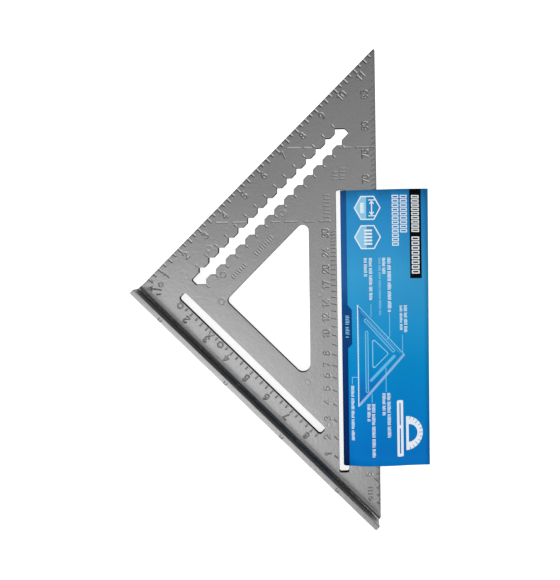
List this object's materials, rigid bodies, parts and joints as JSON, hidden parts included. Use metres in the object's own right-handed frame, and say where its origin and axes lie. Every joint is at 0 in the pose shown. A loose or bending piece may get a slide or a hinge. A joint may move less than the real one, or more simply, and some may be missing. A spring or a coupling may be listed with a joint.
{
  "type": "speed square",
  "caption": "Triangular rafter square with a T-section fence, scribing slots and engraved scales, in a loose printed card sleeve.",
  "frame": {"origin": "the pivot corner: where the fence's inner face meets the ruler edge's plane, at mid blade thickness", "axes": "+X along the fence away from the pivot corner, +Y along the ruler leg, +Z out of the marked face"},
  "size_m": [0.3048, 0.3113, 0.0286],
  "materials": {
    "cast_aluminium": "satin as-cast, fine grained",
    "printed_card": "printed, satin varnish outside, plain white inside",
    "glue": "dried adhesive, matte"
  },
  "bodies": {
    "square": {"square": "cast_aluminium"},
    "sleeve": {"card_sleeve": "printed_card", "glue_strip": "glue"}
  },
  "joints": [
    {"name": "sleeve_slide", "type": "slide", "parent": "square", "child": "sleeve", "axis": [0.7071, -0.7071, 0], "range_m": [0, 0.0058]}
  ]
}
